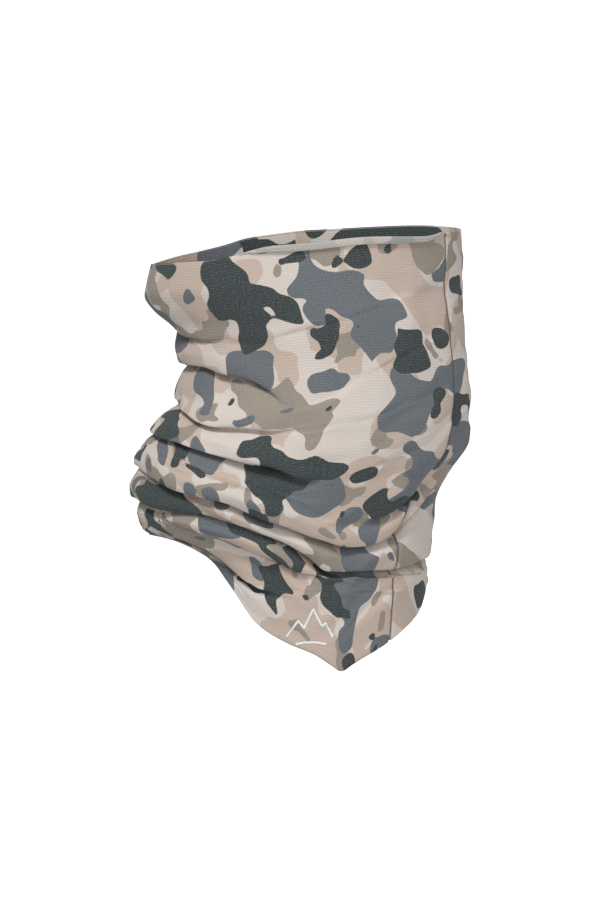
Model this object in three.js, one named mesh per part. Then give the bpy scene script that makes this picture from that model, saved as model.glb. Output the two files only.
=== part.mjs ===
// A camouflage neck gaiter: one tube of printed jersey, closed by one overlocked seam, as it sits
// when it is worn. The upper part is pulled smooth over the face, the slack is gathered round the
// neck in rolls, and the lower part falls over the chest in a point.
//
// Millimetres. +Z is up, the chest point and the printed mark face -Y, and +X is the seam's side.
// The origin is the middle of the neck opening, at the height where the neck gathers end.
//
// The jersey is a single panel. It is divided here into the zones that move by themselves when the
// face sleeve is pulled up: the sleeve, three rolls of gathers, and the chest skirt. Each zone is a
// closed band round the tube, with its edges a small gap from its neighbours' edges.
import * as THREE from "three";
import { ParametricGeometry } from "three/addons/geometries/ParametricGeometry.js";

// Driving dimensions.
const CLOTH = 2.4; // thickness of a band's wall: the jersey with its ripples
const ROLL = 11; // thickness of a roll: the jersey doubled back on itself
const ROLL_PROUD = 2; // how far a roll stands out past the sleeve's surface
const GAP = 0.4; // between neighbouring pieces
const FACET = 1; // clearance under a wall's flat facets, for what is sewn to its inside
const EDGE_CURL = 2.6; // the raw edges curl into a bead this high
const SEAM_ANGLE = 62; // degrees round from the front towards +X
const SEAM_WIDTH = 6; // the seam allowance, turned to the inside
const SEAM_THICK = 1.2; // two layers of jersey
const SEAM_INSET = 2.4; // from a band's sloping edges to the ends of its run of the seam
const THREAD = 0.6;
const STITCH = 3; // overlock stitch length along the seam
const FILM = 0.3; // the printed mark's film
const LABEL = { width: 14, height: 13, thick: 0.5, turned: 5 };
const MARK = { width: 26, height: 18, stroke: 1.7, middle: -38, angle: 1 };
const SIDES_ROUND = 40; // facets round a band
const LEAN = 0.105; // the tube's levels rise towards the front by this slope

// A smooth curve through [place, value] points. With a period it closes on itself.
function through(points, period) {
  const n = points.length;
  const at = (i) => {
    const turn = Math.floor(i / n);
    const [x, y] = points[i - turn * n];
    return [x + turn * (period ?? 0), y];
  };
  const known = (i) => period !== undefined || (i >= 0 && i < n);
  const step = (i) => (at(i + 1)[1] - at(i)[1]) / (at(i + 1)[0] - at(i)[0]);
  const slope = (i) => {
    if (!known(i - 1) || !known(i + 1)) return 0;
    const [before, after] = [step(i - 1), step(i)];
    return before * after <= 0 ? 0 : (2 * before * after) / (before + after);
  };
  return (place) => {
    const first = points[0][0];
    let x = place;
    if (period) x = first + ((((place - first) % period) + period) % period);
    else x = Math.min(Math.max(place, first), points[n - 1][0]);
    let i = 0;
    while (i < (period ? n : n - 1) - 1 && x > at(i + 1)[0]) i++;
    const [[x0, y0], [x1, y1]] = [at(i), at(i + 1)];
    const [w, t] = [x1 - x0, (x - x0) / (x1 - x0)];
    return (
      y0 * (1 + 2 * t) * (1 - t) ** 2 +
      w * slope(i) * t * (1 - t) ** 2 +
      y1 * t * t * (3 - 2 * t) +
      w * slope(i + 1) * t * t * (t - 1)
    );
  };
}

const TURN = 360;
const around = (points) => through(points, TURN);

// The tube's outline, by height: its left and right edges, and its front-to-back depth.
const leftEdge = through([
  [-68, -70], [0, -73], [12, -84], [26, -100], [48, -105], [66, -101], [84, -89],
  [100, -78], [118, -77], [134, -79], [150, -89], [164, -96], [206, -93],
]);
const rightEdge = through([
  [-68, 67], [-35, 70], [12, 74], [36, 76], [52, 83], [66, 93], [90, 97], [112, 97],
  [150, 92], [200, 91],
]);
const depth = through([
  [-68, 112], [0, 116], [26, 132], [48, 142], [66, 142], [110, 134], [150, 138], [200, 138],
]);

// The bands' borders, by angle from the front: 90 is the seam's side, +X, and 180 the back.
const mouth = around([
  [-169, 202], [-157, 199], [-146, 194], [-131, 189], [-90, 180], [-46, 179], [-25, 182],
  [-14, 186], [0, 188], [24, 192], [48, 193], [60, 196], [90, 201], [142, 206], [180, 204],
]);
const sleeveFoot = around([
  [-150, 84], [-90, 82], [-57, 76], [-23, 66], [8, 53], [30, 43], [48, 42], [70, 54], [90, 80],
  [120, 84],
]);
const upperRollFoot = around([
  [-120, 56], [-90, 56], [-44, 44], [-22, 37], [2, 24], [20, 13], [32, 14], [48, 19], [64, 28],
  [90, 48], [130, 54],
]);
const middleRollFoot = around([
  [-150, 36], [-90, 38], [-57, 32], [-24, 27], [-5, 15], [9, 3], [33, 0], [66, 1], [90, 5],
  [120, 14], [150, 26],
]);
const lowerRollFoot = around([
  [-120, 26], [-90, 23], [-70, 19], [-50, 6], [-34, -4], [-20, -15], [-5, -14], [10, -10],
  [33, -8], [60, -7], [90, -4], [120, 4], [150, 14],
]);
const hem = around([
  [-120, 14], [-90, 12], [-70, 8], [-58, 0], [-40, -20], [-25, -39], [-10, -48], [4, -55],
  [18, -65], [30, -57], [40, -51], [55, -41], [70, -31], [90, -12], [120, -4], [150, 2],
  [180, 8],
]);

// The tube's level section is an ellipse: the middle of its width, and its half width and depth.
function sectionAt(height) {
  const [left, right] = [leftEdge(height), rightEdge(height)];
  return { middle: (left + right) / 2, a: (right - left) / 2, b: depth(height) / 2 };
}

// The point of the tube's wall at an angle and height, moved out from it by an offset. The tube's
// levels lean, so the point rises where the wall is nearer the front.
function onWall(angle, height, offset, target = new THREE.Vector3()) {
  const { middle, a, b } = sectionAt(height);
  const turn = THREE.MathUtils.degToRad(angle);
  const out = new THREE.Vector2(Math.sin(turn) / a, -Math.cos(turn) / b).normalize();
  const y = -b * Math.cos(turn) + offset * out.y;
  return target.set(middle + a * Math.sin(turn) + offset * out.x, y, height - LEAN * y);
}

// A closed band round the tube. Its section has `rows` steps down the outside and back up the
// inside, and its thickness swells from `ends` of the full figure at the edges to all of it.
function band({ top, foot, thick, proud = 0, rows, ends = 1 }) {
  const steps = 2 * (rows + 1);
  const surface = (u, v, target) => {
    const angle = -u * TURN;
    const i = Math.round(v * steps) % steps;
    const outside = i <= rows;
    const down = (outside ? i : steps - 1 - i) / rows;
    const height = top(angle) + (foot(angle) - top(angle)) * down;
    const swell = ends + (1 - ends) * Math.sin(Math.PI * down);
    const offset = proud - thick / 2 + (outside ? 0.5 : -0.5) * thick * swell;
    onWall(angle, height, offset, target);
  };
  return new ParametricGeometry(surface, SIDES_ROUND, steps);
}

const lowered = (border, by) => (angle) => border(angle) - by;

// The section that each band has, from the top edge down.
const BANDS = {
  sleeve: {
    top: lowered(mouth, EDGE_CURL),
    foot: lowered(sleeveFoot, -GAP),
    thick: CLOTH,
    rows: 9,
  },
  upper: rollBetween(sleeveFoot, upperRollFoot),
  middle: rollBetween(upperRollFoot, middleRollFoot),
  lower: rollBetween(middleRollFoot, lowerRollFoot),
  skirt: {
    top: lowered(lowerRollFoot, GAP),
    foot: lowered(hem, -EDGE_CURL),
    thick: CLOTH,
    rows: 4,
  },
};

function rollBetween(top, foot) {
  return {
    top: lowered(top, GAP),
    foot: lowered(foot, -GAP),
    thick: ROLL,
    proud: ROLL_PROUD,
    rows: 4,
    ends: 0.45,
  };
}

// Bends a flat geometry onto the wall. Its x runs round the tube from an angle, its z is height,
// and its y is depth into the tube from an offset.
function wrapped(geometry, angle, offset, heightAt = (z) => z) {
  const position = geometry.getAttribute("position");
  const turn = THREE.MathUtils.degToRad(angle);
  const point = new THREE.Vector3();
  for (let i = 0; i < position.count; i++) {
    const height = heightAt(position.getZ(i));
    const { a, b } = sectionAt(height);
    const radius = Math.hypot(a * Math.cos(turn), b * Math.sin(turn));
    const turned = angle + THREE.MathUtils.radToDeg(position.getX(i) / radius);
    onWall(turned, height, offset - position.getY(i), point);
    position.setXYZ(i, point.x, point.y, point.z);
  }
  return geometry;
}

// How far inside the wall a band's inner face lies at the middle of its height.
const innerFace = ({ thick, proud = 0 }) => proud - thick;

const seamEnds = ({ top, foot }) => [top(SEAM_ANGLE) - SEAM_INSET, foot(SEAM_ANGLE) + SEAM_INSET];

// A run of the seam allowance, along the inside of one band.
function seamRun(zone) {
  const [top, foot] = seamEnds(zone);
  const rows = Math.max(3, Math.round((top - foot) / 5));
  const strip = new THREE.BoxGeometry(SEAM_WIDTH, SEAM_THICK, top - foot, 1, 1, rows);
  strip.translate(0, 0, (top + foot) / 2);
  return wrapped(strip, SEAM_ANGLE, innerFace(zone) - FACET - SEAM_THICK / 2);
}

// The outline of a line of an even width, drawn along points.
function strokeOutline(points, width) {
  const side = (sign) =>
    points.map((point, i) => {
      const before = point.clone().sub(points[Math.max(i - 1, 0)]).normalize();
      const after = points[Math.min(i + 1, points.length - 1)].clone().sub(point).normalize();
      const along = before.add(after).normalize();
      const ahead = after.lengthSq() ? after : along;
      const reach = (sign * width) / 2 / Math.max(along.dot(ahead), 0.4);
      return new THREE.Vector2(point.x - along.y * reach, point.y + along.x * reach);
    });
  return new THREE.Shape([...side(-1), ...side(1).reverse()]);
}

// A line of an even width and thickness, drawn along flat points and standing upright.
function ribbon(points, width, thick) {
  const line = new THREE.ExtrudeGeometry(strokeOutline(points, width), {
    depth: thick,
    bevelEnabled: false,
  });
  return line.rotateX(Math.PI / 2);
}

// The overlock thread that zigzags along a run of the seam allowance.
function threadRun(zone) {
  const [top, foot] = seamEnds(zone);
  const stitches = Math.max(1, Math.round((top - foot) / STITCH));
  const points = [];
  for (let i = 0; i <= stitches; i++) {
    const side = ((i % 2 ? 1 : -1) * (SEAM_WIDTH - THREAD)) / 2;
    points.push(new THREE.Vector2(side, top + ((foot - top) * i) / stitches));
  }
  const offset = innerFace(zone) - FACET - 2 * GAP - SEAM_THICK - THREAD;
  return wrapped(ribbon(points, THREAD, THREAD), SEAM_ANGLE, offset);
}

// The plain mark that is printed low on the front: a three-peaked ridge over a ground line. Its
// strokes are points in fractions of the mark's width and height.
const STROKES = {
  ridge: [
    [-0.5, 0.2], [-0.24, 0.68], [-0.12, 0.46], [0.08, 1], [0.27, 0.5], [0.34, 0.6], [0.5, 0.2],
  ],
  ground: [[-0.3, 0], [-0.1, 0.05], [0.14, 0.05], [0.36, 0]],
};

function markStroke(fractions) {
  const { width, height, stroke } = MARK;
  const points = fractions.map(([x, z]) => new THREE.Vector2(x * width, (z - 0.5) * height));
  return wrapped(ribbon(points, stroke, FILM), MARK.angle, GAP, (z) => MARK.middle + z);
}

// The care label: a folded tab that hangs inside from the seam, over the skirt.
function careLabel() {
  const { width, height, thick, turned } = LABEL;
  const top = BANDS.skirt.top(SEAM_ANGLE) - 2 * GAP;
  const tab = new THREE.BoxGeometry(width, thick, height, 6, 1, 3);
  tab.translate(0, 0, top - height / 2);
  const under = innerFace(BANDS.skirt) - FACET - 4 * GAP - SEAM_THICK - THREAD - thick;
  return wrapped(tab, SEAM_ANGLE + turned, under);
}

// The bar tack that holds the label to the allowance.
function labelTack() {
  const { width, thick, turned } = LABEL;
  const top = BANDS.skirt.top(SEAM_ANGLE) - 3 * GAP - THREAD;
  const tack = new THREE.BoxGeometry(width * 0.7, THREAD, 2 * THREAD, 4, 1, 1);
  tack.translate(0, 0, top - THREAD);
  const under = innerFace(BANDS.skirt) - FACET - 5 * GAP - SEAM_THICK - 1.5 * (THREAD + thick);
  return wrapped(tack, SEAM_ANGLE + turned, under);
}

const jersey = new THREE.MeshStandardMaterial({ color: 0xbfb0a5, roughness: 0.95 });
const cutEdge = new THREE.MeshStandardMaterial({ color: 0xb4b6ae, roughness: 0.95 });
const allowance = new THREE.MeshStandardMaterial({ color: 0xc6bcb2, roughness: 0.95 });
const thread = new THREE.MeshStandardMaterial({ color: 0xd8d0c6, roughness: 0.7 });
const film = new THREE.MeshStandardMaterial({ color: 0xe6ecea, roughness: 0.55 });
const satin = new THREE.MeshStandardMaterial({ color: 0xf0efec, roughness: 0.45 });

const gaiter = new THREE.Group();

function add(name, geometry, material) {
  const mesh = new THREE.Mesh(geometry, material);
  mesh.name = name;
  gaiter.add(mesh);
}

const curlBelow = (border) => ({
  top: border,
  foot: lowered(border, EDGE_CURL - GAP),
  thick: CLOTH,
  rows: 1,
});

const JERSEY_NAMES = {
  sleeve: "face_sleeve",
  upper: "neck_roll_upper",
  middle: "neck_roll_middle",
  lower: "neck_roll_lower",
  skirt: "chest_skirt",
};
for (const [zone, name] of Object.entries(JERSEY_NAMES)) {
  add(name, band(BANDS[zone]), jersey);
  add(`seam_allowance_${zone}`, seamRun(BANDS[zone]), allowance);
  add(`overlock_thread_${zone}`, threadRun(BANDS[zone]), thread);
}
add("top_edge_curl", band(curlBelow(mouth)), cutEdge);
add("bottom_edge_curl", band(curlBelow(lowered(hem, GAP - EDGE_CURL))), cutEdge);
for (const [name, points] of Object.entries(STROKES)) {
  add(`printed_${name}`, markStroke(points), film);
}
add("care_label", careLabel(), satin);
add("label_tack", labelTack(), thread);

export default gaiter;
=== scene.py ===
"""A printed jersey neck gaiter as it is worn: the looks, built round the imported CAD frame.

One tube of cloth is drawn as a grid: its columns run down the cloth from the top edge, and its
rows run round it. The gathers are creases, each a line round the tube where the cloth above hangs
over a tuck. The grid is relaxed as real cloth, refined, and given its print, wrong side and edges.

Shape tables are in millimetres on a gaiter DRAWN_HEIGHT high, from the frame's origin: the middle
of the neck opening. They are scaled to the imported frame's own height.
"""

import math

import bpy
import numpy as np
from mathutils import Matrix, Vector


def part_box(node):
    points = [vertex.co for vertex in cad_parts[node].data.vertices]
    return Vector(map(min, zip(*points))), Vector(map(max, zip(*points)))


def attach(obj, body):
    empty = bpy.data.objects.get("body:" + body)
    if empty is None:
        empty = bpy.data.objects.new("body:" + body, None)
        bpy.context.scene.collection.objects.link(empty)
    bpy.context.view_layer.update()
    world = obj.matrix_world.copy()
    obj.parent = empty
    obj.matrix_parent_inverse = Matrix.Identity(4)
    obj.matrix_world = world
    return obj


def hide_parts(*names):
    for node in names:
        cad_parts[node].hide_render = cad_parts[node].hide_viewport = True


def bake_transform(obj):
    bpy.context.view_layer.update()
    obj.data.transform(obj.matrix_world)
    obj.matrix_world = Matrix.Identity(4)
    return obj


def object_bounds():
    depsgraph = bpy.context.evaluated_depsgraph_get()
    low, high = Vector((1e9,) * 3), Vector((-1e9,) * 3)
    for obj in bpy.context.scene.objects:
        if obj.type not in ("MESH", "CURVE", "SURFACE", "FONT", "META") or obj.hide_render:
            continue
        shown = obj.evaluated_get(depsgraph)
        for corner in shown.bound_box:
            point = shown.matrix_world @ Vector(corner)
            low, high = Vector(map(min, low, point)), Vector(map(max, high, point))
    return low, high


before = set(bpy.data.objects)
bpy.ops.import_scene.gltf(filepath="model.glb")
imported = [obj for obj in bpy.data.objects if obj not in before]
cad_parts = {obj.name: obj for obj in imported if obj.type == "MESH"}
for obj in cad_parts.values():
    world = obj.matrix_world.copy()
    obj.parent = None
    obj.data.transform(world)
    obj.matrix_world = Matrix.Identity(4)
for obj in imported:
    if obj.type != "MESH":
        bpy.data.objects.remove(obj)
cad_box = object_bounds()
LOW, HIGH = (Vector(corner) for corner in cad_box)

DRAWN_HEIGHT = 261
MM = (HIGH.z - LOW.z) / DRAWN_HEIGHT
LEAN = 0.105  # the tube's levels rise towards the front by this slope, as on the frame
SEAM_ANGLE = 62  # degrees from the front towards +X, as on the frame
CLOTH_THICK = 0.6
TURNED_HEM = 38  # how far the cloth runs up again inside the hem

# The cloth's grid. Refining it doubles its rows and columns.
COLUMNS = 144
MOUTH_ROW = 11  # the row where the cloth folds over the mouth
SLEEVE_ROW = 20  # a row in the smooth sleeve
HEM_ROWS = 22  # the last rows, at the hem and above it inside
SHEAR_PASSES = 60

# The settling cloth.
RELAX_SCALE = 10  # the cloth solver works best on something metres across
RELAX_FRAMES = 14
RELAX_CAP = 5  # millimetres that it can't pass
HOLD_SMOOTH, HOLD_GATHERED = 0.97, 0.42  # how firmly it keeps its drawn place

# The seam and what is sewn to it. Its rows are those of the refined grid.
SEAM_WIDTH = 6
SEAM_GROOVE = 0.8
SEAM_ENDS = (28, 41)  # rows from the grid's top and bottom to the allowance's ends
THREAD_RADIUS = 0.2
EDGE_RADIUS = 0.5
LABEL_WIDTH, LABEL_LENGTH = 14, 12.5
LABEL_ASIDE = 4  # from the seam to the label's middle
LABEL_ROW = -77  # the row that the care label hangs from

# The mark's strokes, as fractions of its width from the left and of its height from the bottom.
MARK_STROKE = 1.3
MARK_STROKES = {
    "printed_ridge_line": [
        (0, 0.2), (0.26, 0.68), (0.38, 0.46), (0.58, 1), (0.77, 0.5), (0.84, 0.6), (1, 0.2),
    ],
    "printed_ground_line": [(0.2, 0), (0.4, 0.05), (0.64, 0.05), (0.86, 0)],
}

AMBIENT = 0.36  # how much light comes from all round
LAMPS = {  # place from the gaiter's middle, size and power
    "key": ((-0.5, -1.0, 1.5), 0.5, 24),
    "fill": ((1.0, -1.5, 0.3), 1.2, 10),
}
CAMERA_DISTANCE = 2.5
CAMERA_RISE = 6  # degrees above level
CAMERA_FRAME = 2.068  # the height that it sees, in heights of the gaiter

# Sides of the tube by height: left edge, right edge, depth from front to back.
OUTLINE = [
    (-68, -70, 67, 112), (-35, -71, 70, 113), (0, -74, 72, 116), (12, -86, 73, 124),
    (20, -100, 73, 130), (32, -104, 74, 137), (48, -106, 79, 142), (58, -105, 87, 142),
    (70, -101, 94, 141), (86, -88, 97, 138), (100, -77, 97, 135), (118, -76, 96, 134),
    (132, -78, 94, 136), (140, -80, 94, 137), (152, -90, 93, 138), (162, -95, 92, 138),
    (180, -94, 92, 138), (205, -93, 91, 138),
]
MOUTH = [
    (-169, 202), (-157, 199), (-146, 194), (-131, 189), (-90, 180), (-46, 179), (-25, 182),
    (-14, 186), (0, 188), (24, 192), (48, 193), (60, 196), (90, 201), (142, 206), (180, 204),
]
HEM = [
    (-120, 16), (-90, 16), (-70, 15), (-58, 10), (-40, -14), (-25, -37), (-10, -48), (4, -55),
    (12, -61), (18, -65), (24, -61), (30, -57), (40, -51), (55, -41), (70, -31), (90, -12),
    (120, -4), (150, 2), (180, 8),
]
# The top edge is turned to the inside, but rolls out over a stretch of the front.
EDGE_TURN = [
    (-180, -24), (-60, -20), (-32, -6), (-18, 2), (-5, 4), (25, 4), (45, 3), (57, 1), (66, -5),
    (90, -20), (150, -24),
]
# Creases, from the top down: angle from the front, height, strength. A strength over 1 leaves the
# tuck open below.
CREASES = {
    "nose": [
        (-150, 146, 0.2), (-120, 147, 0.6), (-90, 147, 1), (-75, 141, 1), (-64, 135, 0.7),
        (-52, 131, 0.3), (-40, 131, 0), (0, 142, 0), (45, 162, 0), (90, 172, 0), (135, 168, 0),
        (180, 155, 0),
    ],
    "cheek": [
        (-150, 120, 0.3), (-120, 118, 0.6), (-90, 121, 0.8), (-57, 119, 0.9), (-43, 113, 0.8),
        (-32, 108, 0.6), (-24, 102, 0.4), (-12, 92, 0.1), (0, 96, 0), (12, 110, 0), (45, 132, 0),
        (90, 150, 0), (135, 144, 0), (180, 127, 0),
    ],
    "jaw": [
        (-150, 100, 0.5), (-120, 99, 0.8), (-90, 100, 0.8), (-60, 92, 0.9), (-47, 85, 0.8),
        (-36, 80, 0.6), (-24, 79, 0.5), (-12, 77, 0.3), (0, 78, 0), (12, 84, 0), (45, 100, 0),
        (90, 122, 0), (135, 115, 0), (180, 102, 0.1),
    ],
    "chin": [
        (-150, 82, 0.6), (-120, 82, 0.8), (-90, 82, 0.8), (-52, 75, 0.9), (-37, 70, 0.9),
        (-23, 65, 0.9), (-7, 57, 0.7), (8, 49, 0.35), (18, 50, 0), (45, 72, 0), (90, 100, 0),
        (135, 92, 0), (180, 82, 0.3),
    ],
    "slit": [
        (-150, 66, 0), (-90, 70, 0), (-44, 57, 0), (-22, 50, 0), (2, 37, 0), (20, 26, 0),
        (32, 25, 0.2), (42, 29, 0.8), (52, 37, 0.9), (60, 45, 0.6), (70, 54, 0), (90, 88, 0),
        (105, 91, 0), (120, 86, 0), (150, 75, 0), (180, 68, 0),
    ],
    "swag": [
        (-150, 56, 0.6), (-120, 56, 0.5), (-90, 57, 0.4), (-75, 55, 0.3), (-60, 50, 0.5),
        (-44, 43, 0.8), (-22, 36, 0.9), (-9, 28, 1), (2, 23, 1), (9, 17, 1), (20, 11, 1),
        (28, 12, 1), (45, 19, 0.9), (60, 30, 0.8), (75, 45, 0.8), (90, 76, 0.7), (105, 82, 0.6),
        (120, 78, 0.6), (150, 66, 0.6), (180, 58, 0.6),
    ],
    "gap": [
        (-120, 35, 0.6), (-90, 38, 0.5), (-57, 32, 0.7), (-38, 31, 0.9), (-24, 29, 0.8),
        (-16, 25, 0.8), (-5, 14, 0.9), (1, 7, 1), (9, 1, 1.3), (33, 1, 1.35), (50, 1, 1.1),
        (70, 2, 0.6), (90, 5, 0.5), (120, 14, 0.6), (150, 24, 0.7), (180, 30, 0.8), (-150, 34, 0.8),
    ],
    "nape": [
        (-120, 25, 0.2), (-90, 29, 0), (-60, 26, 0.1), (-45, 24, 0.4), (-35, 21, 0.7),
        (-24, 12, 0.9), (-15, 6, 0.9), (-7, -1, 0.8), (0, -5, 0.5), (10, -8, 0.1), (33, -9, 0),
        (60, -8, 0), (90, -5, 0), (120, 4, 0.2), (150, 12, 0.4), (180, 18, 0.4),
        (-150, 24, 0.3),
    ],
    "collar": [
        (-120, 19, 0.5), (-90, 21, 0.2), (-75, 19, 0.2), (-60, 15, 0.6), (-50, 8, 1), (-37, -2, 0.9),
        (-30, -8, 0.8), (-23, -14, 0.5), (-14, -18, 0.1), (0, -18, 0), (10, -18, 0),
        (33, -18, 0), (60, -15, 0), (90, -9, 0), (120, 0, 0.3), (150, 6, 0.3), (180, 11, 0.4),
        (-150, 15, 0.7),
    ],
}
TUCK_DEPTH = {
    "nose": 9, "cheek": 11, "jaw": 11, "chin": 13, "slit": 7, "swag": 15, "gap": 14,
    "nape": 7, "collar": 10,
}
LIP_OVERHANG = 5.4
LIP_BULGE = 3.7
RUMPLE = 1.0  # the height of the small uneven folds among the gathers


def smoothstep(x, start, end):
    """0 before start, 1 after end, and smooth between."""
    t = np.clip((x - start) / (end - start), 0, 1)
    return t * t * (3 - 2 * t)


def curve(points, x, period=None):
    """A smooth monotone curve through (place, value) points, which can repeat with a period."""
    points = sorted(points)
    px, py = (np.array(column, float) for column in zip(*points))
    if period:
        px = np.concatenate([px[-2:] - period, px, px[:2] + period])
        py = np.concatenate([py[-2:], py, py[:2]])
        x = px[2] + np.mod(x - px[2], period)
    step = np.diff(py) / np.diff(px)
    slope = np.zeros_like(py)
    before, after = step[:-1], step[1:]
    same_way = before * after > 0
    total = np.where(same_way, before + after, 1)
    slope[1:-1] = np.where(same_way, 2 * before * after / total, 0)
    x = np.clip(x, px[0], px[-1])
    i = np.clip(np.searchsorted(px, x, side="right") - 1, 0, len(px) - 2)
    width = px[i + 1] - px[i]
    t = (x - px[i]) / width
    return (
        py[i] * (1 + 2 * t) * (1 - t) ** 2
        + width * slope[i] * t * (1 - t) ** 2
        + py[i + 1] * t * t * (3 - 2 * t)
        + width * slope[i + 1] * t * t * (t - 1)
    )


def around(points, angle):
    return curve(points, angle, 360)


def lattice_noise(u, v, seed, wrap=64):
    """Smooth noise from -1 to 1 from a seeded lattice of values, which repeats after wrap in u."""
    side = 64
    values = np.random.default_rng(seed).uniform(-1, 1, (side, side))
    iu, iv = np.floor(u).astype(int), np.floor(v).astype(int)
    fu, fv = u - iu, v - iv
    fu, fv = fu * fu * (3 - 2 * fu), fv * fv * (3 - 2 * fv)
    left, right = np.mod(iu, wrap), np.mod(iu + 1, wrap)
    low, high = np.mod(iv, side), np.mod(iv + 1, side)
    near = values[left, low] * (1 - fv) + values[left, high] * fv
    far = values[right, low] * (1 - fv) + values[right, high] * fv
    return near * (1 - fu) + far * fu


def wall(angle, height, offset):
    """Points on the tube's wall, moved outwards by an offset, in drawn millimetres."""
    heights, *sides = zip(*OUTLINE)
    left, right, depth = (curve(zip(heights, side), height) for side in sides)
    middle, half_width, half_depth = (left + right) / 2, (right - left) / 2, depth / 2
    turn = np.radians(angle)
    out_x, out_y = np.sin(turn) / half_width, -np.cos(turn) / half_depth
    length = np.hypot(out_x, out_y)
    x = middle + half_width * np.sin(turn) + offset * out_x / length
    y = -half_depth * np.cos(turn) + offset * out_y / length
    return np.stack([x, y, height - LEAN * y], axis=-1)


def swung(angle, height):
    """The angle that a column has at a height: the tube twists in the gathers on the seam's side."""
    near_seam = np.exp(-(((angle - SEAM_ANGLE) / 55) ** 2))
    return angle - 17 * near_seam * (1 - smoothstep(height, 0, 62))


def crease_lines(angle):
    """Each crease's height and strength at the columns, with a little unevenness."""
    lines = []
    for number, points in enumerate(CREASES.values()):
        heights = [p[:2] for p in points]
        strengths = [(p[0], p[2]) for p in points]
        at = swung(angle, around(heights, angle))
        at = swung(angle, around(heights, at))
        height, strength = around(heights, at), around(strengths, at)
        strength = strength * (1 + 0.12 * lattice_noise(angle / 24, 0 * angle, number, 15))
        lines.append((height, strength))
    return lines


def top_knots(angle, mouth):
    """The turned or rolled top edge, and the fold over the mouth."""
    turn = around(EDGE_TURN, angle)
    side = np.where(turn > 0, 1.1, -1.3) * np.clip(np.abs(turn) / 3, 0, 1)
    reach = np.abs(turn)
    return [
        (side, mouth - reach, 0),
        (side, mouth - 0.3 * reach - 0.4, 8),
        (side * 0.5, mouth, 3),
        (0 * angle, mouth - 1.5, 2),
    ]


def crease_knots(height, w, depth, room_up, room_down, free, crown_rows):
    """One crease of strength w, from the crown above it to the shoulder of the cloth below it."""
    spread_up, spread_down = np.minimum(4, 0.3 * room_up), np.minimum(4.5, 0.33 * room_down)
    over = np.minimum(LIP_OVERHANG, (0.3 + 0.25 * free) * room_down) * w
    ample = np.clip(np.minimum(room_up, room_down * (1 + free)) / 12, 0.2, 1)
    bulge, deep = LIP_BULGE * ample * w, depth * ample * w
    crown = height + np.minimum(11, 0.5 * room_up) * (1 - 0.15 * w)
    lip = height + spread_up * (1 - w) - over
    throat = height + 0.4 * spread_up * (1 - w) + 0.5 * w
    valley = height - 0.3 * spread_down * (1 - w) + 3.5 * w
    shoulder = height - spread_down * (1 - w) - (over + 1.5 * w)
    return [
        (bulge, crown, crown_rows),
        (0.5 * bulge, lip, 4),
        (-0.45 * deep, throat, 4),
        (-deep, valley, 3),
        (-0.8 * w - 14 * np.clip(w - 1, 0, 1), shoulder, 6),
    ]


def hem_knots(above, hem):
    """The cloth from the last crease down to the hem, and up again inside it."""
    skirt = above - hem
    return [
        (0 * hem, hem + 0.6 * skirt, 8),
        (0 * hem, hem + 0.25 * skirt, 10),
        (0.3 + 0 * hem, hem + 1, 6),
        (-1.5 + 0 * hem, hem, 2),
        (-3 + 0 * hem, hem + 2.5, 2),
        (-4.5 + 0 * hem, hem + 0.45 * TURNED_HEM, 6),
        (-6 + 0 * hem, hem + TURNED_HEM, 6),
    ]


def column_knots(angle):
    """The profile of each column as (offset, height) knots, with the rows that lead to each."""
    mouth, hem = around(MOUTH, angle), around(HEM, swung(angle, -30 + 0 * angle))
    knots = top_knots(angle, mouth)
    above, crown_rows = mouth - 6, 14
    lines = crease_lines(angle) + [(hem + 2, 1)]
    for (height, w), (below, below_w), depth in zip(lines, lines[1:], TUCK_DEPTH.values()):
        free = 1 - np.clip(below_w, 0, 1)
        knots += crease_knots(height, w, depth, above - height, height - below, free, crown_rows)
        above, crown_rows = knots[-1][1], 5
    return knots + hem_knots(above, hem)


def profile_rows(knots):
    """Rows along the knots' polylines: arrays of offset and height, one row of the grid each."""
    rows = [(knots[0][0], knots[0][1])]
    for (offset0, height0, _), (offset1, height1, steps) in zip(knots, knots[1:]):
        for step in range(1, steps + 1):
            t = step / steps
            rows.append((offset0 + (offset1 - offset0) * t, height0 + (height1 - height0) * t))
    return np.array(rows).transpose(1, 0, 2)


def smoothed(values, passes):
    """Values averaged with their neighbours down the columns, to round the corners."""
    for _ in range(passes):
        inner = 0.25 * values[:-2] + 0.5 * values[1:-1] + 0.25 * values[2:]
        values = np.concatenate([values[:1], inner, values[-1:]])
    return values


def rumples(angle, height):
    """Small uneven folds that run with the gathers, as offsets from the wall."""
    above = height - around([point[:2] for point in CREASES["chin"]], angle)
    broad = lattice_noise(angle / 24, above / 9, 31, 15)
    fine = lattice_noise(angle / 15, above / 5, 32, 24)
    calm = smoothstep(height - around(HEM, angle), 0, 20) * (1 - smoothstep(above, 12, 48))
    return RUMPLE * (broad + 0.5 * fine) * calm


def drawn_grid():
    """The cloth as drawn: an array of rows x columns x 3, in millimetres."""
    angle = SEAM_ANGLE + 360 * np.arange(COLUMNS) / COLUMNS
    angle = np.mod(angle + 180, 360) - 180
    offset, height = profile_rows(column_knots(angle))
    offset, height = smoothed(offset, 3), smoothed(height, 3)
    offset = offset + rumples(angle[None, :], height)
    return wall(swung(angle[None, :], height), height, offset)


def between(values, before, after, after2):
    """Points half way to the next ones, on smooth curves through them."""
    return (9 * (values + after) - before - after2) / 16


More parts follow.
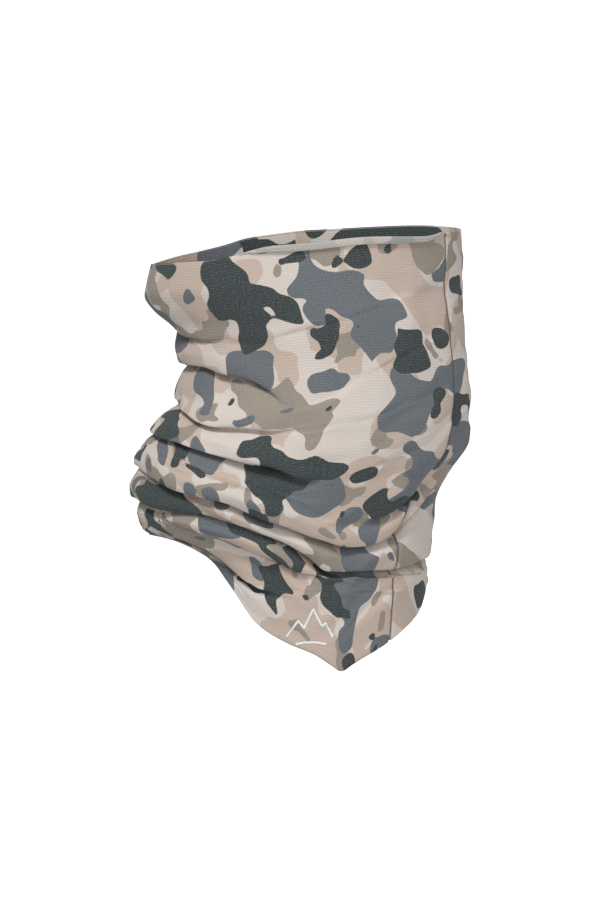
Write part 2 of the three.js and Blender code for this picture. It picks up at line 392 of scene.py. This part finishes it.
def refined(grid):
    """The grid at twice the density both ways, on a smooth surface through its points."""
    mid = between(grid, np.roll(grid, 1, 1), np.roll(grid, -1, 1), np.roll(grid, -2, 1))
    wide = np.empty((grid.shape[0], 2 * grid.shape[1], 3))
    wide[:, 0::2], wide[:, 1::2] = grid, mid
    padded = np.concatenate([2 * wide[:1] - wide[1:2], wide, 2 * wide[-1:] - wide[-2:-1]])
    mid = between(padded[1:-2], padded[:-3], padded[2:-1], padded[3:])
    tall = np.empty((2 * wide.shape[0] - 1, wide.shape[1], 3))
    tall[0::2], tall[1::2] = wide, mid
    return tall


def cloth_coordinates(grid, mouth_row, smooth_row):
    """Where each grid point is on the flat cloth: round it from the seam, and down it.

    Jersey barely shears, so neighbouring columns that gather unequally share their slack.
    """
    closed = np.concatenate([grid, grid[:, :1]], axis=1)
    down = np.linalg.norm(np.diff(closed, axis=0), axis=-1)
    down = np.concatenate([np.zeros((1, closed.shape[1])), np.cumsum(down, axis=0)])
    down = down - down[mouth_row]
    for _ in range(SHEAR_PASSES):
        level = down[:, :-1]
        level = 0.25 * np.roll(level, 1, 1) + 0.5 * level + 0.25 * np.roll(level, -1, 1)
        down = np.concatenate([level, level[:, :1]], axis=1)
    round_it = np.linalg.norm(np.diff(closed[smooth_row], axis=0), axis=-1)
    across = np.concatenate([[0], np.cumsum(round_it)])
    return np.broadcast_to(across, down.shape), down


def mesh_from_grid(name, grid):
    """A closed tube's mesh from the grid, facing outwards."""
    rows, columns = grid.shape[:2]
    index = np.arange(rows * columns).reshape(rows, columns)
    right = np.roll(index, -1, axis=1)
    quads = np.stack([index[:-1], index[1:], right[1:], right[:-1]], axis=-1).reshape(-1, 4)
    mesh = bpy.data.meshes.new(name)
    mesh.vertices.add(rows * columns)
    mesh.vertices.foreach_set("co", (grid * MM).astype(np.float32).ravel())
    mesh.loops.add(quads.size)
    mesh.loops.foreach_set("vertex_index", quads.astype(np.int32).ravel())
    mesh.polygons.add(len(quads))
    mesh.polygons.foreach_set("loop_start", np.arange(0, quads.size, 4, dtype=np.int32))
    mesh.update(calc_edges=True)
    mesh.polygons.foreach_set("use_smooth", np.ones(len(quads), bool))
    return mesh


def corner_values(values):
    """Values at grid points, closed by a last column, as values at the quads' corners."""
    a, b = values[:-1, :-1], values[1:, :-1]
    c, d = values[1:, 1:], values[:-1, 1:]
    return np.stack([a, b, c, d], axis=2).reshape(-1, *values.shape[2:])


# The print: lobed blotches in four tones over a cream ground, drawn on the flat cloth.
# For each tone, from the lowest up: the blotches' size, and the share of the cloth they cover.
PRINT_TONES = {"tan": (24, 0.58), "olive": (20, 0.28), "slate": (24, 0.24), "dark": (22, 0.21)}
# The largest blotches on the front: tone, distance across from the front line, distance down from
# the mouth, and radius.
FRONT_BLOTCHES = [
    ("dark", -57, 20, 15), ("dark", -50, 44, 13), ("dark", -29, 36, 15), ("dark", 26, 10, 8),
    ("slate", -4, 22, 13), ("slate", 19, 31, 15), ("slate", 36, 46, 14), ("slate", -6, 42, 8),
    ("cream", -26, 52, 7), ("olive", 5, 8, 8), ("olive", 72, 8, 11), ("tan", 53, 20, 14),
    ("tan", 70, 41, 14), ("tan", -81, 10, 12), ("slate", -8, 80, 11), ("slate", 9, 85, 7),
    ("slate", -62, 70, 11), ("slate", -44, 79, 9), ("slate", -91, 93, 12), ("olive", -52, 96, 9),
    ("olive", -33, 88, 8), ("olive", -2, 112, 12), ("cream", 21, 94, 17), ("cream", 19, 122, 13),
    ("dark", 57, 70, 13), ("dark", 78, 61, 7), ("slate", 55, 99, 14), ("slate", 70, 123, 13),
    ("dark", 102, 30, 10), ("slate", 98, 84, 10), ("cream", -64, 128, 15), ("slate", -98, 188, 12),
    ("dark", -19, 153, 14), ("slate", 19, 161, 15), ("dark", 42, 144, 8), ("cream", 0, 206, 13),
    ("dark", 28, 269, 9), ("slate", 70, 265, 13), ("tan", 64, 290, 11), ("cream", -50, 300, 12),
    # The dark blotches just inside the mouth at the back are dark print and also painted shade: they
    # darken the inside of the tube, where shade falls.
    ("dark", 180, -9, 20), ("dark", 205, -9, 22), ("dark", 230, -9, 22), ("dark", -258, -10, 14),
    ("dark", -236, -9, 16), ("slate", -208, -10, 18), ("tan", -175, -8, 20),
    ("olive", -72, 232, 13), ("olive", -50, 252, 11), ("slate", -50, 228, 8), ("cream", -84, 240, 6),
    ("dark", -104, 236, 8), ("tan", -62, 272, 11), ("dark", -56, 290, 8), ("slate", 62, 240, 14),
    ("tan", 88, 198, 14), ("cream", 108, 200, 13), ("olive", 92, 224, 6), ("tan", 90, 258, 15),
    ("olive", 100, 252, 7), ("dark", 122, 248, 9), ("tan", 108, 275, 12), ("cream", 98, 292, 12),
]


def blotches(across, down, seed, size):
    """Smooth noise with rounded lobes, in blotches of about a size."""
    tilt = 0.5 + 0.8 * seed
    total = 0
    for number, (fineness, weight) in enumerate([(1, 1), (1, 1), (2.2, 0.7), (2.2, 0.7)]):
        turn = tilt + 0.9 * number
        u = (across * math.cos(turn) + 1.15 * down * math.sin(turn)) * fineness / size
        v = (1.15 * down * math.cos(turn) - across * math.sin(turn)) * fineness / size
        total = total + weight * lattice_noise(u + 7.3 * number, v, seed + 10 * number)
    return total


def print_fields(across, down):
    """How deep in each tone's blotches each point is, from 0 to 1: over a half is inside."""
    girth = across.max()
    front = girth * (360 - SEAM_ANGLE) / 360
    from_front = np.mod(across - front + girth / 2, girth) - girth / 2
    fields = []
    for seed, (tone, (size, share)) in enumerate(PRINT_TONES.items()):
        value = blotches(across, down, seed, size)
        value = value - np.quantile(value, 1 - share)
        for owner, x, y, radius in FRONT_BLOTCHES:
            distance = np.hypot(from_front - x, down - y) / radius
            value = value + (1.9 if owner == tone else -1.6) * np.exp(-(distance**3))
        fields.append(np.clip(0.5 + 0.35 * value, 0, 1))
    return np.stack(fields, axis=-1)


def material(name):
    made = bpy.data.materials.new(name)
    made.use_nodes = True
    made.node_tree.nodes.clear()
    return made


class Nodes:
    """Short calls for building one material's node tree."""

    def __init__(self, made):
        self.tree = made.node_tree

    def add(self, kind, **settings):
        node = self.tree.nodes.new(kind)
        for key, value in settings.items():
            setattr(node, key, value)
        return node

    def put(self, socket, value):
        if isinstance(value, bpy.types.NodeSocket):
            self.tree.links.new(value, socket)
        else:
            socket.default_value = value

    def math(self, operation, a, b=0.0, clamp=False):
        node = self.add("ShaderNodeMath", operation=operation, use_clamp=clamp)
        self.put(node.inputs[0], a)
        self.put(node.inputs[1], b)
        return node.outputs[0]

    def step(self, value, start, end):
        node = self.add("ShaderNodeMapRange", interpolation_type="SMOOTHSTEP")
        for socket, setting in zip(node.inputs, (value, start, end)):
            self.put(socket, setting)
        return node.outputs[0]

    def noise(self, vector, scale, detail=2.0, roughness=0.5):
        node = self.add("ShaderNodeTexNoise")
        self.put(node.inputs["Vector"], vector)
        for key, value in (("Scale", scale), ("Detail", detail), ("Roughness", roughness)):
            self.put(node.inputs[key], value)
        return node.outputs[0]

    def mix(self, amount, a, b, blend_type="MIX"):
        node = self.add("ShaderNodeMix", data_type="RGBA", blend_type=blend_type)
        self.put(node.inputs[0], amount)
        self.put(node.inputs[6], a)
        self.put(node.inputs[7], b)
        return node.outputs[2]

    def scaled(self, vector, x, y, z=1.0):
        node = self.add("ShaderNodeVectorMath", operation="MULTIPLY")
        self.put(node.inputs[0], vector)
        self.put(node.inputs[1], (x, y, z))
        return node.outputs[0]


def linear(*srgb):
    """A colour given as 0 to 255 values, as the linear RGBA that shaders take."""
    parts = [c / 255 for c in srgb]
    return tuple(c / 12.92 if c <= 0.04045 else ((c + 0.055) / 1.055) ** 2.4 for c in parts) + (1,)


CREAM = linear(207, 197, 189)
TONES = {
    "tan": linear(191, 173, 160),
    "olive": linear(147, 137, 125),
    "slate": linear(98, 104, 110),
    "dark": linear(47, 57, 58),
}
WRONG_SIDE = linear(178, 180, 174)
UNPRINTED = linear(214, 212, 208)
# Painted shade: the colour of the dark line along the seam's groove.
PAINTED_SEAM_SHADE = linear(84, 84, 82)


def print_colour(nodes, uv):
    """The camouflage print: the four tones over the cream ground."""
    fields = nodes.add("ShaderNodeAttribute", attribute_name="print_fields")
    tones = nodes.add("ShaderNodeSeparateColor")
    nodes.put(tones.inputs[0], fields.outputs["Color"])
    ragged = nodes.math("MULTIPLY", nodes.math("SUBTRACT", nodes.noise(uv, 700, 2), 0.5), 0.03)
    colour = CREAM
    values = [*tones.outputs[:3], fields.outputs["Alpha"]]
    for value, tone in zip(values, TONES.values()):
        inside = nodes.step(nodes.math("ADD", value, ragged), 0.494, 0.506)
        colour = nodes.mix(inside, colour, tone)
    return colour


def knit(nodes, uv):
    """The jersey's loops: courses across the cloth and wales down it, as a height from 0 to 1."""
    courses = nodes.add("ShaderNodeTexWave", wave_type="BANDS", bands_direction="Y")
    wales = nodes.add("ShaderNodeTexWave", wave_type="BANDS", bands_direction="X")
    for wave, spacing in ((courses, 1.5), (wales, 1.1)):
        nodes.put(wave.inputs["Vector"], uv)
        nodes.put(wave.inputs["Scale"], 1000 * math.pi / (10 * spacing))
        nodes.put(wave.inputs["Distortion"], 2.2)
        nodes.put(wave.inputs["Detail"], 2.0)
        nodes.put(wave.inputs["Detail Scale"], 1.4)
    rows = nodes.math("MULTIPLY", courses.outputs["Fac"], 0.7)
    return nodes.math("ADD", rows, nodes.math("MULTIPLY", wales.outputs["Fac"], 0.3))


def finished(nodes, made, colour, height, roughness, depth, sheen=0.0):
    """Ends a material: its surface, with a bump from the height."""
    bump = nodes.add("ShaderNodeBump")
    bump.inputs["Strength"].default_value = 0.4
    bump.inputs["Distance"].default_value = depth
    nodes.put(bump.inputs["Height"], height)
    surface = nodes.add("ShaderNodeBsdfPrincipled")
    nodes.put(surface.inputs["Base Color"], colour)
    surface.inputs["Roughness"].default_value = roughness
    surface.inputs["Sheen Weight"].default_value = sheen
    surface.inputs["Sheen Roughness"].default_value = 0.5
    nodes.put(surface.inputs["Normal"], bump.outputs[0])
    out = nodes.add("ShaderNodeOutputMaterial")
    nodes.put(out.inputs["Surface"], surface.outputs[0])
    return made


def worn_tone(nodes, uv, loops, slubs):
    """How bright the cloth is from place to place, as a grey: loops, slubs and broad wear."""
    dim = nodes.math("ADD", 0.86, nodes.math("MULTIPLY", loops, 0.08))
    dim = nodes.math("ADD", dim, nodes.math("MULTIPLY", nodes.math("SUBTRACT", slubs, 0.5), 0.34))
    dim = nodes.math("ADD", dim, nodes.math("MULTIPLY", nodes.noise(uv, 26, 2), 0.08))
    shade = nodes.add("ShaderNodeCombineColor")
    for socket in shade.inputs:
        nodes.put(socket, dim)
    return shade.outputs[0]


def with_painted_seam_shade(nodes, uv, colour, girth):
    """The colour with painted shade: a thin dark line along the seam's groove, where the cloth's two
    sides meet.
    """
    round_it = nodes.add("ShaderNodeSeparateXYZ")
    nodes.put(round_it.inputs[0], uv)
    to_end = nodes.math("SUBTRACT", girth / 1000, round_it.outputs[0])
    from_seam = nodes.math("MINIMUM", round_it.outputs[0], to_end)
    # Painted shade: darkens the colour within about a millimetre of the seam.
    return nodes.mix(nodes.step(from_seam, 0.0009, 0.0002), colour, PAINTED_SEAM_SHADE)


def jersey_material(name, girth, wrong_side):
    """Printed jersey, with its unprinted fibres showing between the loops."""
    made = material(name)
    nodes = Nodes(made)
    uv = nodes.add("ShaderNodeUVMap", uv_map="cloth").outputs[0]
    loops = knit(nodes, uv)
    slubs = nodes.noise(nodes.scaled(uv, 1, 1.8), 800, 2, 0.8)
    colour = print_colour(nodes, uv)
    if wrong_side:
        colour = nodes.mix(0.6, colour, WRONG_SIDE)
    open_loops = nodes.math("ADD", nodes.math("MULTIPLY", loops, 0.15), slubs)
    showing = nodes.math("MULTIPLY", nodes.step(open_loops, 0.5, 0.95), 0.2)
    colour = nodes.mix(showing, colour, UNPRINTED)
    colour = nodes.mix(1.0, colour, worn_tone(nodes, uv, loops, slubs), "MULTIPLY")
    colour = with_painted_seam_shade(nodes, uv, colour, girth)
    height = nodes.math("ADD", loops, nodes.math("MULTIPLY", slubs, 0.9))
    return finished(nodes, made, colour, height, roughness=0.93, depth=0.0003, sheen=0.1)


def fibre_material(name, light, deep, grain, roughness, depth):
    """A material of fine fibres or yarn, between a light and a deep tone."""
    made = material(name)
    nodes = Nodes(made)
    place = nodes.add("ShaderNodeTexCoord").outputs["Object"]
    fibres = nodes.noise(nodes.scaled(place, 1, 1, 0.6), grain, 3, 0.7)
    patches = nodes.noise(place, grain / 12, 2)
    fine, broad = nodes.math("MULTIPLY", fibres, 0.75), nodes.math("MULTIPLY", patches, 0.25)
    amount = nodes.math("ADD", fine, broad)
    colour = nodes.mix(nodes.step(amount, 0.35, 0.62), deep, light)
    return finished(nodes, made, colour, fibres, roughness, depth)


def weave_material(name, light, deep, spacing, roughness):
    """A flat woven ribbon: fine ribs across and along it."""
    made = material(name)
    nodes = Nodes(made)
    place = nodes.add("ShaderNodeTexCoord").outputs["Object"]
    ribs = []
    for direction in ("X", "Z"):
        wave = nodes.add("ShaderNodeTexWave", wave_type="BANDS", bands_direction=direction)
        nodes.put(wave.inputs["Vector"], place)
        nodes.put(wave.inputs["Scale"], 1000 * math.pi / (10 * spacing))
        ribs.append(wave.outputs["Fac"])
    height = nodes.math("MULTIPLY", *ribs)
    colour = nodes.mix(nodes.math("MULTIPLY", height, 0.8), deep, light)
    return finished(nodes, made, colour, height, roughness, depth=0.0001)


def slack(grid):
    """How gathered the cloth is, from 0 where it is smooth or sewn to 1 in the gathers."""
    bend = np.linalg.norm(grid - smoothed(grid, 12), axis=-1)
    spacing = np.linalg.norm(np.gradient(grid, axis=0), axis=-1)
    amount = np.clip(smoothed(bend, 10) / 0.8, 0, 1) * np.clip(smoothed(spacing, 4) / 1.2, 0, 1)
    amount[: MOUTH_ROW // 2 + 8] = 0
    amount[-HEM_ROWS // 2 :] = 0
    from_hem = len(grid) - HEM_ROWS / 2 - np.arange(len(grid))[:, None]
    return amount * smoothstep(from_hem, 0, 12)


def settled(grid):
    """The grid after the cloth solver has let it wrinkle, sag and settle on itself."""
    mesh = mesh_from_grid("settling", grid * RELAX_SCALE)
    cloth = bpy.data.objects.new("settling", mesh)
    scene = bpy.context.scene
    scene.collection.objects.link(cloth)
    rows, columns = grid.shape[:2]
    pins = cloth.vertex_groups.new(name="pins")
    hold = np.round(HOLD_SMOOTH - (HOLD_SMOOTH - HOLD_GATHERED) * slack(grid), 2).ravel()
    for weight in np.unique(hold):
        pins.add(np.flatnonzero(hold == weight).tolist(), float(weight), "REPLACE")
    modifier = cloth.modifiers.new("cloth", "CLOTH")
    settings, contact = modifier.settings, modifier.collision_settings
    settings.quality = 6
    settings.mass = 0.25
    settings.tension_stiffness = settings.compression_stiffness = 20
    settings.shear_stiffness = 5
    settings.bending_stiffness = 0.3
    settings.vertex_group_mass = "pins"
    settings.pin_stiffness = 1.2
    settings.shrink_min = -0.02
    contact.use_collision = False
    contact.use_self_collision = True
    contact.self_distance_min = 0.01
    modifier.point_cache.frame_end = RELAX_FRAMES
    for number in range(1, RELAX_FRAMES + 1):
        scene.frame_set(number)
    result = cloth.evaluated_get(bpy.context.evaluated_depsgraph_get()).to_mesh()
    points = np.empty(rows * columns * 3, np.float32)
    result.vertices.foreach_get("co", points)
    scene.frame_set(1)
    bpy.data.objects.remove(cloth)
    bpy.data.meshes.remove(mesh)
    return points.reshape(rows, columns, 3).astype(float) / MM / RELAX_SCALE


def relaxed(grid):
    """The grid moved as its every other row and column settles: in its slack, and never far."""
    coarse = grid[::2, ::2]
    moved = smoothed(settled(coarse) - coarse, 2)
    moved = 0.25 * np.roll(moved, 1, 1) + 0.5 * moved + 0.25 * np.roll(moved, -1, 1)
    moved *= np.clip(2 * slack(coarse), 0, 1)[..., None]
    far = np.linalg.norm(moved, axis=-1, keepdims=True)
    return grid + refined(moved * RELAX_CAP / (RELAX_CAP + far))


def linked(name, data):
    made = bpy.data.objects.new(name, data)
    bpy.context.scene.collection.objects.link(made)
    return made


def thickened(made, thickness):
    """Gives a sheet its thickness, on its inner side."""
    modifier = made.modifiers.new("thickness", "SOLIDIFY")
    modifier.thickness = thickness * MM
    modifier.offset = -1
    return modifier


def unit(vectors):
    return vectors / np.maximum(np.linalg.norm(vectors, axis=-1, keepdims=True), 1e-9)


def interpolated(at, places, points):
    """Points on the line through points that stand at places."""
    return np.stack([np.interp(at, places, column) for column in points.T], axis=-1)


def sheet_piece(name, points, thickness, made_of):
    """A thin piece through rows and columns of points in millimetres."""
    index = np.arange(points.shape[0] * points.shape[1]).reshape(points.shape[:2])
    quads = np.stack([index[:-1, :-1], index[:-1, 1:], index[1:, 1:], index[1:, :-1]], axis=-1)
    mesh = bpy.data.meshes.new(name)
    mesh.from_pydata((points.reshape(-1, 3) * MM).tolist(), [], quads.reshape(-1, 4).tolist())
    mesh.shade_smooth()
    mesh.materials.append(made_of)
    piece = linked(name, mesh)
    thickened(piece, thickness)
    return piece


def gaiter_cloth(grid, across, down):
    """The printed jersey: the whole tube as one sheet, with its print and its wrong side."""
    mesh = mesh_from_grid("gaiter_cloth", grid)
    flat = np.stack([across, -down], axis=-1) / 1000
    layer = mesh.uv_layers.new(name="cloth")
    layer.data.foreach_set("uv", corner_values(flat).astype(np.float32).ravel())
    attribute = mesh.attributes.new("print_fields", "FLOAT_COLOR", "CORNER")
    fields = corner_values(print_fields(across, down))
    attribute.data.foreach_set("color", fields.astype(np.float32).ravel())
    cloth = linked("gaiter_cloth", mesh)
    girth = across.max()
    mesh.materials.append(jersey_material("printed_side", girth, wrong_side=False))
    mesh.materials.append(jersey_material("wrong_side", girth, wrong_side=True))
    thickened(cloth, CLOTH_THICK).material_offset = 1
    return cloth


def beside_seam(grid, along, side, inside):
    """Points by the seam: rows along it, millimetres to its side, and to the inside of the cloth."""
    rows = np.arange(len(grid))
    lines = smoothed(grid[:, [0, -3, 3]], 6)
    middle = lines[:, 0]
    near = (middle, lines[:, 1], lines[:, 2], np.roll(middle, -6, 0), np.roll(middle, 6, 0))
    seam, left, right, ahead, behind = (interpolated(along, rows, line) for line in near)
    level, downward = unit(right - left), unit(ahead - behind)
    inward = unit(np.cross(level, downward))
    side, inside = np.asarray(side)[..., None], np.asarray(inside)[..., None]
    return seam + side * level + inside * inward


def grooved(grid):
    """The grid with the seam's stitches pulled in a little."""
    grid = grid.copy()
    grid[2:-2, 0] = beside_seam(grid, np.arange(2.0, len(grid) - 2), 0, SEAM_GROOVE)
    return grid


def seam_allowance(grid):
    """The seam's two layers of jersey, pressed flat against the inside."""
    along = np.arange(SEAM_ENDS[0], len(grid) - SEAM_ENDS[1], 1.0)
    sides = np.linspace(-SEAM_WIDTH / 2, SEAM_WIDTH / 2, 7)
    layers = CLOTH_THICK + 0.3 + 0.35 * np.cos(sides / SEAM_WIDTH * math.pi)
    columns = [beside_seam(grid, along, side, layer) for side, layer in zip(sides, layers)]
    light, deep = linear(204, 198, 190), linear(170, 164, 156)
    jersey = fibre_material("seam_cloth", light, deep, 900, 0.95, 0.0003)
    return sheet_piece("seam_allowance", np.stack(columns, axis=1), -2 * CLOTH_THICK, jersey)


def tube(name, points, radius, made_of, sides=6):
    """A round thread along points, closed at both ends."""
    ahead = unit(np.gradient(points, axis=0))
    aside = unit(np.cross(ahead, (0.31, 0.17, 0.93)))
    upright = np.cross(aside, ahead)
    turn = 2 * math.pi * np.arange(sides) / sides
    ring = aside[:, None] * np.cos(turn)[:, None] + upright[:, None] * np.sin(turn)[:, None]
    rings = points[:, None] + radius * ring
    index = np.arange(rings.shape[0] * sides).reshape(-1, sides)
    right = np.roll(index, -1, axis=1)
    faces = np.stack([index[:-1], right[:-1], right[1:], index[1:]], axis=-1).reshape(-1, 4).tolist()
    faces += [index[0, ::-1].tolist(), index[-1].tolist()]
    mesh = bpy.data.meshes.new(name)
    mesh.from_pydata((rings.reshape(-1, 3) * MM).tolist(), [], faces)
    mesh.shade_smooth()
    mesh.materials.append(made_of)
    return linked(name, mesh)


def overlock_thread(grid, thread):
    """The overlock's looper thread, zigzag over the allowance."""
    step = np.arange(2 * (len(grid) - sum(SEAM_ENDS)) - 1)
    along = SEAM_ENDS[0] + step / 2
    side = (SEAM_WIDTH / 2 + 0.15) * (2 / math.pi) * np.arcsin(0.98 * np.sin(step * math.pi / 3.4))
    above = CLOTH_THICK * 3 + 0.45 + 0.3 * np.cos(side / SEAM_WIDTH * math.pi)
    return tube("overlock_thread", beside_seam(grid, along, side, above), THREAD_RADIUS, thread)


def edge_bead(name, grid, row, made_of):
    """The raw edge of the cloth, rolled into a fine fuzzy bead."""
    loop = np.concatenate([grid[row], grid[row, :2]])
    return tube(name, loop, EDGE_RADIUS, made_of)


def stroke(name, line, cloth, made_of):
    """A printed line: a film that lies on the front of the cloth along points of x and z."""
    lengths = np.linalg.norm(np.diff(line, axis=0), axis=-1)
    at = np.concatenate([[0], np.cumsum(lengths)])
    steps = np.unique(np.concatenate([at, np.arange(0, at[-1], 0.7)]))
    centre = interpolated(steps, at, line)
    ahead = unit(np.gradient(centre, axis=0))
    aside = np.stack([-ahead[:, 1], ahead[:, 0]], axis=-1) * MARK_STROKE / 2
    points = []
    for x, z in np.stack([centre + aside, centre, centre - aside], axis=1).reshape(-1, 2):
        _, hit, normal, _ = cloth.ray_cast(Vector((x * MM, -1, z * MM)), Vector((0, 1, 0)))
        points.append(hit / MM + normal * 0.15)
    return sheet_piece(name, np.array(points).reshape(-1, 3, 3), 0.2, made_of)


def printed_mark(cloth):
    """The plain mark low on the front: a three-peaked ridge over a ground line."""
    low, high = (np.array(corner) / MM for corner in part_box("printed_ridge"))
    foot = np.array(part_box("printed_ground")[0])[2] / MM
    light, deep = linear(238, 242, 240), linear(206, 212, 210)
    film = fibre_material("print_film", light, deep, 1500, 0.6, 0.0001)
    bpy.context.view_layer.update()
    pieces = []
    for name, points in MARK_STROKES.items():
        x, z = np.array(points, float).T
        line = np.stack([low[0] + x * (high[0] - low[0]), foot + z * (high[2] - foot)], axis=-1)
        pieces.append(stroke(name, line, cloth, film))
    return pieces


def care_label(grid, down):
    """The blank care label: a folded satin tab that hangs inside from the seam."""
    length = LABEL_LENGTH
    reach = np.concatenate([np.linspace(0, length, 11), [length + 0.5], np.linspace(length, 0.5, 11)])
    layer = np.concatenate([np.full(11, 3.4), [3.9], np.full(11, 4.4)])
    along = np.interp(down[LABEL_ROW, 0] + reach, down[:, 0], np.arange(len(down)))
    columns = []
    for side in np.linspace(-LABEL_WIDTH / 2, LABEL_WIDTH / 2, 11) + LABEL_ASIDE:
        curl = 0.9 * np.sin(reach / length * 2.2) * (0.5 + side / LABEL_WIDTH)
        columns.append(beside_seam(grid, along, side, layer + curl))
    satin = weave_material("label_satin", linear(240, 239, 236), linear(214, 212, 207), 0.5, 0.4)
    return sheet_piece("care_label_tab", np.stack(columns, axis=1), 0.2, satin)


def bar_tack(grid, down, thread):
    """The close zigzag that holds the label to the seam."""
    step = np.arange(44)
    reach = 1.2 + 1.1 * (step % 2)
    along = np.interp(down[LABEL_ROW, 0] + reach, down[:, 0], np.arange(len(down)))
    side = LABEL_ASIDE + 10 * (step / step[-1] - 0.5)
    return tube("label_bar_tack", beside_seam(grid, along, side, 4.9), 1.1 * THREAD_RADIUS, thread)


def floor_material():
    """A pale floor that glows where it is looked at, so that it meets the background unseen."""
    made = material("floor_white")
    nodes = Nodes(made)
    surface = nodes.add("ShaderNodeBsdfPrincipled")
    surface.inputs["Base Color"].default_value = (0.8, 0.8, 0.8, 1)
    surface.inputs["Roughness"].default_value = 1.0
    surface.inputs["Emission Color"].default_value = (1, 1, 1, 1)
    seen = nodes.add("ShaderNodeLightPath").outputs["Is Camera Ray"]
    nodes.put(surface.inputs["Emission Strength"], nodes.math("MULTIPLY", seen, 0.9))
    out = nodes.add("ShaderNodeOutputMaterial")
    nodes.put(out.inputs["Surface"], surface.outputs[0])
    return made


def pale_floor():
    bpy.ops.mesh.primitive_plane_add(size=400, location=(0, 0, LOW.z - 0.35))
    floor = bpy.context.object
    floor.name = "floor"
    floor.data.materials.append(floor_material())


def white_world():
    """Soft light from all round, before a background that is seen as white."""
    world = bpy.data.worlds.new("studio")
    bpy.context.scene.world = world
    world.use_nodes = True
    nodes = Nodes(world)
    background = world.node_tree.nodes["Background"]
    background.inputs["Color"].default_value = (1, 1, 1, 1)
    seen = nodes.add("ShaderNodeLightPath").outputs["Is Camera Ray"]
    extra = nodes.math("MULTIPLY", seen, 1.1 - AMBIENT)
    nodes.put(background.inputs["Strength"], nodes.math("ADD", AMBIENT, extra))


def lamps(centre):
    for name, (place, size, power) in LAMPS.items():
        light = bpy.data.lights.new(name, "AREA")
        light.size = size
        light.energy = power
        lamp = linked(name, light)
        lamp.location = centre + Vector(place)
        lamp.rotation_euler = (centre - lamp.location).to_track_quat("-Z", "Y").to_euler()


def long_lens_camera(centre):
    """The camera, level with the gaiter's front and a little above it."""
    camera = linked("camera", bpy.data.cameras.new("camera"))
    rise = math.radians(CAMERA_RISE)
    toward = Vector((0, -math.cos(rise), math.sin(rise)))
    camera.location = Vector((centre.x, 0, centre.z - 3.6 * MM)) + CAMERA_DISTANCE * toward
    camera.rotation_euler = (-toward).to_track_quat("-Z", "Y").to_euler()
    camera.data.sensor_width = 36
    frame_height = CAMERA_FRAME * (HIGH.z - LOW.z)
    camera.data.lens = camera.data.sensor_width * CAMERA_DISTANCE / frame_height
    bpy.context.scene.camera = camera


def studio():
    """A pale floor, soft lights, and the camera."""
    centre = (LOW + HIGH) / 2
    pale_floor()
    white_world()
    lamps(centre)
    long_lens_camera(centre)
    bpy.context.scene.view_settings.view_transform = "Standard"


JERSEY_NODES = [
    "face_sleeve", "neck_roll_upper", "neck_roll_middle", "neck_roll_lower", "chest_skirt",
]
BANDS = ["sleeve", "upper", "middle", "lower", "skirt"]

drawn = drawn_grid()
across, down = cloth_coordinates(refined(drawn), 2 * MOUTH_ROW, 2 * SLEEVE_ROW)
grid = grooved(refined(relaxed(drawn)))
cloth = gaiter_cloth(grid, across, down)
thread_light, thread_deep = linear(222, 215, 206), linear(186, 178, 168)
thread = fibre_material("overlock_thread", thread_light, thread_deep, 2600, 0.7, 0.0002)
edge = fibre_material("cut_edge", linear(196, 197, 190), linear(158, 160, 154), 1600, 0.95, 0.0003)
allowance = seam_allowance(grid)
stitches = overlock_thread(grid, thread)
top_bead = edge_bead("top_raw_edge", grid, 0, edge)
hem_bead = edge_bead("hem_raw_edge", grid, -1, edge)
ridge, ground = printed_mark(cloth)
label = care_label(grid, down)
tack = bar_tack(grid, down, thread)

for piece in (cloth, allowance, stitches, top_bead, hem_bead):
    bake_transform(piece)
for piece in (ridge, ground, label, tack):
    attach(piece, "skirt")
for piece, slot, nodes in (
    (cloth, "printed_jersey", JERSEY_NODES),
    (allowance, "seam_cloth", [f"seam_allowance_{band}" for band in BANDS]),
    (stitches, "overlock_thread", [f"overlock_thread_{band}" for band in BANDS]),
    (top_bead, "cut_edge", ["top_edge_curl"]),
    (hem_bead, "cut_edge", ["bottom_edge_curl"]),
    (ridge, "print_film", ["printed_ridge"]),
    (ground, "print_film", ["printed_ground"]),
    (label, "label_satin", ["care_label"]),
    (tack, "overlock_thread", ["label_tack"]),
):
    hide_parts(*nodes)

studio()
